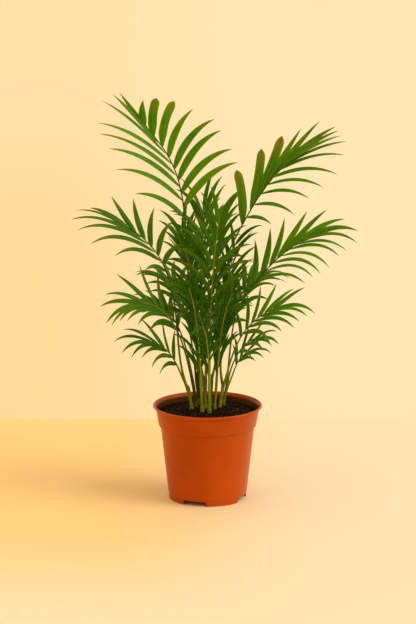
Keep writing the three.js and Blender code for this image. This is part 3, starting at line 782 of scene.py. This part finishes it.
def add_lump(skin, centre, size, own, kind, seed):
    """A crumb: a sphere of a few rings, knocked out of shape."""
    rings, grains, tints = [], [], []
    sides, levels = CRUMBS.sides, CRUMBS.levels
    stretch = Vector((1 + 0.35 * chance(seed), 1 + 0.35 * chance(seed + 1), 0.75 + 0.2 * chance(seed + 2)))
    for i in range(1, levels):
        lat = math.pi * i / levels - math.pi / 2
        ring = []
        for j in range(sides):
            a = 2 * math.pi * j / sides + 0.4 * i
            way = Vector((math.cos(lat) * math.cos(a), math.cos(lat) * math.sin(a), math.sin(lat)))
            swell = 1 + 0.3 * field.noise(way * 1.7 + Vector((seed, 0, 0)))
            ring.append(centre + Vector(way[k] * stretch[k] for k in range(3)) * (size * swell))
        rings.append(ring)
        grains.append([(i / levels, j / sides, own) for j in range(sides)])
        tints.append([(kind, 0.0, 0.0)] * sides)
    skin.loft(rings, grains, tints, tip=centre + Vector((0, 0, size * stretch.z)))


def add_fibre(skin, start, heading, length, radius, own, seed):
    """A bit of root or coir that lies on the soil."""
    rings, grains, tints = [], [], []
    steps, sides = FIBRES.steps, FIBRES.sides
    at = start.copy()
    for i in range(steps + 1):
        s = i / steps
        way = Vector((math.cos(heading), math.sin(heading), 0))
        height = soil_height(at.x, at.y) + FIBRES.lift + 0.5 * math.sin(math.pi * s)
        centre = Vector((at.x, at.y, height))
        rings.append(ring_round(centre, way, Vector((0, 0, 1)), radius * (1 - 0.5 * s), sides))
        grains.append([(s, j / sides, own) for j in range(sides)])
        tints.append([(1.0, 0.0, 0.0)] * sides)
        at += way * (length / steps)
        heading += 0.35 * chance(seed + i)
    skin.loft(rings, grains, tints)


def on_soil(picker, inner, outer):
    """A random place on the soil between two radii that is clear of the canes."""
    while True:
        r = math.sqrt(mix(inner**2, outer**2, picker.random()))
        a = picker.uniform(0, 2 * math.pi)
        x, y = r * math.cos(a), r * math.sin(a)
        if all(beside(cane, x, y) > 1.4 for cane in CANES.values()):
            return x, y


def soil_edge_radius():
    """Where the soil meets the pot's sloping wall."""
    (top_radius, top_z), (low_radius, low_z) = POT.collar_top, POT.collar_bottom
    wall = mix(low_radius, top_radius, (SOIL.edge - low_z) / (top_z - low_z)) - WALL
    return wall - GAP - 0.15


def add_soil_bed(skin, edge):
    """The soil itself: its side, then its rough surface from the wall to the middle."""
    rings = [[Vector((x, y, z)) for x, y in circle(r, SOIL_SEGMENTS)] for r, z in SOIL_SIDE]
    for i in range(SOIL_RINGS):
        r = mix(edge, 0.7, (i / (SOIL_RINGS - 1)) ** 0.9)
        rings.append([Vector((x, y, soil_height(x, y))) for x, y in circle(r, SOIL_SEGMENTS)])
    grains = [[(0.5, 0.5, 0.5)] * SOIL_SEGMENTS for _ in rings]
    tints = [[(0.0, 0.0, 0.0)] * SOIL_SEGMENTS for _ in rings]
    skin.loft(rings, grains, tints)


def add_crumbs(skin, edge, picker):
    for number in range(CRUMBS.count):
        x, y = on_soil(picker, 0, edge - 1.5)
        size = picker.uniform(*(CRUMBS.small if number % CRUMBS.big_every else CRUMBS.big))
        kind = picker.random()
        centre = Vector((x, y, soil_height(x, y) + 0.25 * size))
        add_lump(skin, centre, size, picker.random(), 0.0 if kind < 0.8 else kind, number * 5.0)


def add_fibres(skin, edge, picker):
    for number in range(FIBRES.count):
        x, y = on_soil(picker, 4, edge - 8)
        length, heading = picker.uniform(*FIBRES.length), picker.uniform(0, 2 * math.pi)
        radius = picker.uniform(*FIBRES.radius)
        add_fibre(skin, Vector((x, y, 0)), heading, length, radius, picker.random(), number * 9.0)


def make_soil(material):
    skin = Skin()
    edge = soil_edge_radius()
    picker = random.Random(11)
    add_soil_bed(skin, edge)
    add_crumbs(skin, edge, picker)
    add_fibres(skin, edge, picker)
    piece = skin.build("soil_bed", [material], sharp_deg=60)
    settle(piece, "soil")


# ---- Materials ----

class Nodes:
    """A short way to write a material's nodes."""

    def __init__(self, name):
        self.material = bpy.data.materials.new(name)
        self.material.use_nodes = True
        self.tree = self.material.node_tree
        self.tree.nodes.clear()
        self.shader = self.add("ShaderNodeBsdfPrincipled")
        output = self.add("ShaderNodeOutputMaterial")
        self.tree.links.new(self.shader.outputs["BSDF"], output.inputs["Surface"])

    def add(self, kind, **settings):
        node = self.tree.nodes.new(kind)
        for key, value in settings.items():
            setattr(node, key, value)
        return node

    def link(self, value, socket):
        if isinstance(value, bpy.types.NodeSocket):
            self.tree.links.new(value, socket)
        else:
            socket.default_value = value

    def split(self, vector):
        parts = self.add("ShaderNodeSeparateXYZ")
        self.link(vector, parts.inputs[0])
        return parts.outputs

    def attribute(self, name):
        return self.split(self.add("ShaderNodeAttribute", attribute_name=name).outputs["Vector"])

    def math(self, operation, *values):
        node = self.add("ShaderNodeMath", operation=operation)
        for value, socket in zip(values, node.inputs):
            self.link(value, socket)
        return node.outputs[0]

    def ramp(self, value, low, high, start=0, end=1):
        node = self.add("ShaderNodeMapRange", interpolation_type="SMOOTHSTEP")
        for socket, given in zip(node.inputs, (value, low, high, start, end)):
            self.link(given, socket)
        return node.outputs[0]

    def times(self, a, b):
        return self.math("MULTIPLY", a, b)

    def plus(self, a, b):
        return self.math("ADD", a, b)

    def mix(self, share, a, b):
        node = self.add("ShaderNodeMix", data_type="RGBA")
        for name, given in (("Factor_Float", share), ("A_Color", a), ("B_Color", b)):
            socket = next(s for s in node.inputs if s.identifier == name)
            self.link((*given, 1) if isinstance(given, tuple) else given, socket)
        return next(s for s in node.outputs if s.identifier == "Result_Color")

    def place(self):
        return self.add("ShaderNodeTexCoord").outputs["Object"]

    def noise(self, where, scale, detail, rough=0.55):
        node = self.add("ShaderNodeTexNoise")
        self.link(where, node.inputs["Vector"])
        for name, value in (("Scale", scale), ("Detail", detail), ("Roughness", rough)):
            node.inputs[name].default_value = value
        return node.outputs["Fac"]

    def stretched(self, where, scale):
        node = self.add("ShaderNodeMapping")
        self.link(where, node.inputs["Vector"])
        node.inputs["Scale"].default_value = scale
        return node.outputs["Vector"]

    def combine(self, x, y, z):
        node = self.add("ShaderNodeCombineXYZ")
        for value, socket in zip((x, y, z), node.inputs):
            self.link(value, socket)
        return node.outputs[0]

    def bump(self, height, depth_mm, strength):
        node = self.add("ShaderNodeBump")
        self.link(height, node.inputs["Height"])
        node.inputs["Distance"].default_value = mm(depth_mm)
        node.inputs["Strength"].default_value = strength
        self.link(node.outputs["Normal"], self.shader.inputs["Normal"])

    def finish(self, colour, roughness, **constants):
        self.link(colour, self.shader.inputs["Base Color"])
        self.link(roughness, self.shader.inputs["Roughness"])
        for name, value in constants.items():
            self.shader.inputs[name.replace("_", " ")].default_value = value
        return self.material


# The palettes below hold linear red, green and blue.

LEAF = Values(
    dark=(0.036, 0.128, 0.0004),
    light=(0.08, 0.2, 0.0008),
    young=(0.12, 0.235, 0.002),
    shaded=(0.005, 0.042, 0.0001),
    vein=(0.014, 0.052, 0.0005),
    midrib=(0.13, 0.21, 0.008),
    foot=(0.11, 0.18, 0.004),
    tip=(0.165, 0.11, 0.008),
    edge=(0.19, 0.14, 0.015),
    under=(0.08, 0.15, 0.008),
)


def leaf_material():
    """A green blade with fine veins along it, a paler midrib and underside, an olive or brown tip, and
    painted shade that darkens the fronds inside the plant.
    """
    n = Nodes("palm_leaf")
    along, across, own = n.attribute("grain")
    olive, deep, under = n.attribute("tint")
    where = n.place()
    patches = n.noise(where, 26, 3)
    fine = n.noise(where, 700, 2)
    veins = n.noise(n.combine(n.times(along, 1.5), n.times(across, 9), n.times(own, 40)), 2.2, 3, 0.6)
    from_middle = n.math("ABSOLUTE", across)
    base = n.mix(n.ramp(patches, 0.3, 0.7), LEAF.dark, LEAF.light)
    base = n.mix(n.ramp(own, 0, 1, 0, 0.45), base, LEAF.young)
    # Painted shade: leaflets of fronds inside the plant darkened towards a shaded green.
    base = n.mix(n.times(deep, 0.9), base, LEAF.shaded)
    base = n.mix(n.ramp(veins, 0.35, 0.7, 0, 0.4), base, LEAF.vein)
    base = n.mix(n.ramp(from_middle, 0, 0.14, 0.5, 0), base, LEAF.midrib)
    base = n.mix(n.ramp(along, 0, 0.16, 0.4, 0), base, LEAF.foot)
    ragged = n.plus(along, n.times(fine, 0.16))
    base = n.mix(n.times(n.ramp(ragged, 0.62, 1.06), olive), base, LEAF.tip)
    edge = n.times(n.ramp(from_middle, 0.7, 1), n.times(olive, n.ramp(along, 0.35, 0.9)))
    base = n.mix(n.times(edge, 0.55), base, LEAF.edge)
    base = n.mix(n.times(under, 0.3), base, LEAF.under)
    n.bump(n.plus(n.times(veins, 0.8), n.times(fine, 0.25)), 0.22, 0.7)
    dull = n.plus(n.times(patches, 0.5), n.times(under, 0.5))
    return n.finish(base, n.ramp(dull, 0.1, 0.9, 0.3, 0.55),
                    Subsurface_Weight=0.15, Subsurface_Scale=mm(1.2), Subsurface_Radius=(0.5, 1, 0.05),
                    Specular_IOR_Level=0.14, Specular_Tint=(0.75, 1, 0.3, 1))


STEM = Values(
    dark_green=(0.022, 0.066, 0.001),
    light_green=(0.05, 0.11, 0.002),
    light_yellow=(0.29, 0.29, 0.012),
    dark_yellow=(0.15, 0.2, 0.006),
    flush=(0.04, 0.03, 0.004),
    groove=(0.03, 0.05, 0.002),
)
BARK = Values(
    light_yellow=(0.27, 0.27, 0.012),
    dark_yellow=(0.14, 0.18, 0.006),
    dark_green=(0.05, 0.09, 0.003),
    light_green=(0.09, 0.13, 0.006),
    fibre=(0.07, 0.05, 0.008),
    foot=(0.08, 0.05, 0.01),
    scar=(0.06, 0.045, 0.01),
)
STEM_SHADER = {"Subsurface_Scale": mm(1), "Subsurface_Radius": (0.6, 1, 0.1), "Specular_IOR_Level": 0.1}


def stalk_material():
    """A smooth stalk with fine grooves: yellow-green, or green with a brown flush near its foot."""
    n = Nodes("palm_stalk")
    along, turn, own = n.attribute("grain")
    yellow, at, _ = n.attribute("tint")
    patches = n.noise(n.stretched(n.place(), (1, 1, 0.25)), 110, 3)
    grooves = n.noise(n.combine(n.times(along, 3), n.times(turn, 22), own), 3, 2)
    green = n.mix(n.ramp(patches, 0.35, 0.7), STEM.dark_green, STEM.light_green)
    warm = n.mix(n.ramp(patches, 0.3, 0.7), STEM.light_yellow, STEM.dark_yellow)
    base = n.mix(n.ramp(yellow, 0.05, 0.85), green, warm)
    flush = n.times(n.ramp(at, 0, 0.3, 0.5, 0), n.math("SUBTRACT", 1, yellow))
    base = n.mix(flush, base, STEM.flush)
    base = n.mix(n.ramp(grooves, 0.45, 0.75, 0, 0.4), base, STEM.groove)
    n.bump(grooves, 0.25, 0.6)
    return n.finish(base, n.ramp(patches, 0.2, 0.8, 0.36, 0.58), Subsurface_Weight=0.08, **STEM_SHADER)


def cane_material():
    """A cane: yellow-green or dark green with long fibres, brown near the soil and at its rings."""
    n = Nodes("palm_cane")
    along, turn, own = n.attribute("grain")
    yellowness, _, band = n.attribute("tint")
    fibres = n.noise(n.combine(n.times(along, 4), n.times(turn, 26), n.times(own, 30)), 2.4, 3)
    patches = n.noise(n.stretched(n.place(), (1, 1, 0.4)), 120, 3)
    yellow = n.mix(n.ramp(patches, 0.3, 0.7), BARK.light_yellow, BARK.dark_yellow)
    green = n.mix(n.ramp(patches, 0.3, 0.7), BARK.dark_green, BARK.light_green)
    base = n.mix(yellowness, green, yellow)
    base = n.mix(n.ramp(fibres, 0.5, 0.72, 0, 0.6), base, BARK.fibre)
    base = n.mix(n.ramp(along, 0.32, 0.42, 0.5, 0), base, BARK.foot)
    base = n.mix(n.times(band, 0.5), base, BARK.scar)
    n.bump(fibres, 0.5, 0.7)
    return n.finish(base, n.ramp(fibres, 0.3, 0.7, 0.42, 0.65), Subsurface_Weight=0.06, **STEM_SHADER)


PLASTIC = Values(
    dark=(0.385, 0.049, 0.0006),
    light=(0.455, 0.062, 0.001),
    scuff=(0.56, 0.095, 0.006),
    dust=(0.16, 0.05, 0.014),
    # Part soil stain, part painted shade inside the lip.
    stain=(0.035, 0.008, 0.001),
)
DUST_HEIGHT = 9
STAIN_AND_SHADE_FROM = 90  # lowest height of the dark band inside the lip, part soil stain and part painted shade
STAIN_AND_SHADE_FADES = (101.5, 105.5)


def pot_material():
    """Terracotta-orange polypropylene: satin, with a fine moulded grain, faint scuffs, dust near the foot and
    a dark band inside the lip that is part soil stain and part painted shade of the pot's hollow."""
    n = Nodes("pot_plastic")
    where = n.place()
    x, y, height = n.split(where)
    radius = n.math("SQRT", n.plus(n.times(x, x), n.times(y, y)))
    clouds = n.noise(where, 16, 3)
    grain = n.noise(where, 1500, 2)
    scuffs = n.noise(n.stretched(where, (1, 1, 9)), 55, 5, 0.65)
    base = n.mix(n.ramp(clouds, 0.3, 0.7), PLASTIC.dark, PLASTIC.light)
    base = n.mix(n.ramp(scuffs, 0.62, 0.8, 0, 0.35), base, PLASTIC.scuff)
    dust = n.times(n.ramp(height, 0, mm(DUST_HEIGHT), 1, 0), n.ramp(scuffs, 0.42, 0.7))
    base = n.mix(n.times(dust, 0.35), base, PLASTIC.dust)
    (top_radius, top_z), (low_radius, low_z) = POT.collar_top, POT.collar_bottom
    slope = (top_radius - low_radius) / (top_z - low_z)
    mid_wall = n.plus(n.times(height, slope), mm(low_radius - low_z * slope - 0.6 * WALL))
    # Inside the lip and above the soil, a dark band that is part soil stain and part painted shade of the
    # hollow.
    inside = n.times(n.math("LESS_THAN", radius, mid_wall), n.math("GREATER_THAN", height, mm(STAIN_AND_SHADE_FROM)))
    tide = n.plus(height, n.times(scuffs, mm(2)))
    stain = n.times(inside, n.ramp(tide, mm(STAIN_AND_SHADE_FADES[0]), mm(STAIN_AND_SHADE_FADES[1]), 0.9, 0))
    base = n.mix(stain, base, PLASTIC.stain)
    n.bump(n.plus(n.times(grain, 0.5), n.times(clouds, 0.6)), 0.12, 0.35)
    return n.finish(base, n.ramp(scuffs, 0.3, 0.8, 0.3, 0.48),
                    Subsurface_Weight=0.05, Subsurface_Scale=mm(2), Subsurface_Radius=(1, 0.25, 0.02),
                    Specular_IOR_Level=0.3, Specular_Tint=(1, 0.6, 0.22, 1))


PEAT = Values(
    dark=(0.004, 0.0012, 0.0002),
    light=(0.03, 0.01, 0.0016),
    crumb=(0.08, 0.03, 0.005),
    brown_bit=(0.06, 0.026, 0.006),
    olive_bit=(0.085, 0.066, 0.012),
)


def soil_material():
    """Damp dark peat. Fibres and bark crumbs are browner, and a few specks are olive."""
    n = Nodes("soil")
    own = n.attribute("grain")[2]
    kind = n.attribute("tint")[0]
    where = n.place()
    crumbs = n.noise(where, 420, 6, 0.7)
    damp = n.noise(where, 60, 3)
    base = n.mix(n.ramp(crumbs, 0.35, 0.7), PEAT.dark, PEAT.light)
    base = n.mix(n.ramp(crumbs, 0.66, 0.8, 0, 0.6), base, PEAT.crumb)
    bits = n.mix(own, PEAT.brown_bit, PEAT.olive_bit)
    base = n.mix(n.ramp(kind, 0.5, 0.95, 0, 0.8), base, bits)
    n.bump(crumbs, 0.9, 0.8)
    return n.finish(base, n.ramp(damp, 0.3, 0.7, 0.62, 0.92), Specular_IOR_Level=0.03)


# ---- Stage, light and camera ----

LOOK_DOWN_DEG = 12.8
CAMERA_AWAY = 3.5  # metres
CAMERA_LENS = 185
AIM = Vector((0.0005, 0, 0.2089))  # metres
WALL_LINE = 0.336  # metres behind the pot, where the floor takes the far colour
WALL_SOFTNESS = 0.006  # metres
FLOOR_HALF = 9.0  # metres
KEY_FROM = (0.85, -0.3, 0.72)
KEY_STRENGTH = 1.8
KEY_SPREAD_DEG = 42
KEY_COLOUR = (1, 0.97, 0.92)
SKY_COLOUR = (1, 0.86, 0.6, 1)
SKY_STRENGTH = 0.96
FLOOR = Values(
    near=(0.8, 0.67, 0.48),
    # Painted shadow: the warmer, darker floor left of the pot stands for the soft shadow and falloff of light
    # there.
    near_glow=(0.88, 0.57, 0.225),
    far=(0.793, 0.68, 0.49),
    # Painted shade: the far floor darkens to the left, as the light falls off.
    far_glow=(0.79, 0.585, 0.32),
)


def floor_material():
    """A cream studio floor with a painted soft shadow and painted falloff of light on its left, and paler
    behind the wall line.
    """
    n = Nodes("studio_floor")
    across, back, _ = n.split(n.place())
    # Painted shadow and falloff of light on the left, near the pot and far behind it.
    near_shadow_share = n.times(n.ramp(across, 0.12, -0.12), n.ramp(back, -0.5, -0.1))
    near = n.mix(near_shadow_share, FLOOR.near, FLOOR.near_glow)
    far_shade_share = n.times(n.ramp(across, 0.15, -0.28), n.ramp(back, 3.5, 0.6, 0.4, 1))
    far = n.mix(far_shade_share, FLOOR.far, FLOOR.far_glow)
    base = n.mix(n.ramp(back, WALL_LINE - WALL_SOFTNESS, WALL_LINE + WALL_SOFTNESS), near, far)
    n.bump(n.noise(n.place(), 240, 3), 0.2, 0.2)
    return n.finish(base, 0.75)


def make_stage(material):
    corners = [(x * FLOOR_HALF, y * FLOOR_HALF, 0) for x, y in ((-1, -1), (1, -1), (1, 1), (-1, 1))]
    mesh = bpy.data.meshes.new("studio_floor")
    mesh.from_pydata(corners, [], [(0, 1, 2, 3)])
    mesh.materials.append(material)
    floor = put_in_scene("studio_floor", mesh)


def make_light():
    world = bpy.data.worlds.new("studio")
    world.use_nodes = True
    sky = world.node_tree.nodes["Background"]
    sky.inputs["Color"].default_value = SKY_COLOUR
    sky.inputs["Strength"].default_value = SKY_STRENGTH
    bpy.context.scene.world = world
    data = bpy.data.lights.new("key", "SUN")
    data.energy = KEY_STRENGTH
    data.angle = math.radians(KEY_SPREAD_DEG)
    data.color = KEY_COLOUR
    lamp = put_in_scene("key", data)
    lamp.rotation_euler = Vector(KEY_FROM).to_track_quat("Z", "Y").to_euler()
    bpy.context.scene.view_settings.view_transform = "Standard"


def make_camera():
    data = bpy.data.cameras.new("camera")
    data.lens = CAMERA_LENS
    data.sensor_width = 36
    data.clip_end = 50
    camera = put_in_scene("camera", data)
    down = math.radians(LOOK_DOWN_DEG)
    back = Vector((0, -math.cos(down), math.sin(down)))
    camera.location = AIM + back * CAMERA_AWAY
    camera.rotation_euler = (-back).to_track_quat("-Z", "Y").to_euler()
    bpy.context.scene.camera = camera


# ---- Assembly ----

make_camera()
make_light()
make_stage(floor_material())
make_pot(pot_material())
make_soil(soil_material())
cane_finish = cane_material()
for cane_letter in CANES:
    make_cane(cane_letter, cane_finish)
frond_finishes = [leaf_material(), stalk_material()]
for frond_number, one_frond in enumerate(FRONDS):
    make_frond(frond_number, one_frond, frond_finishes)
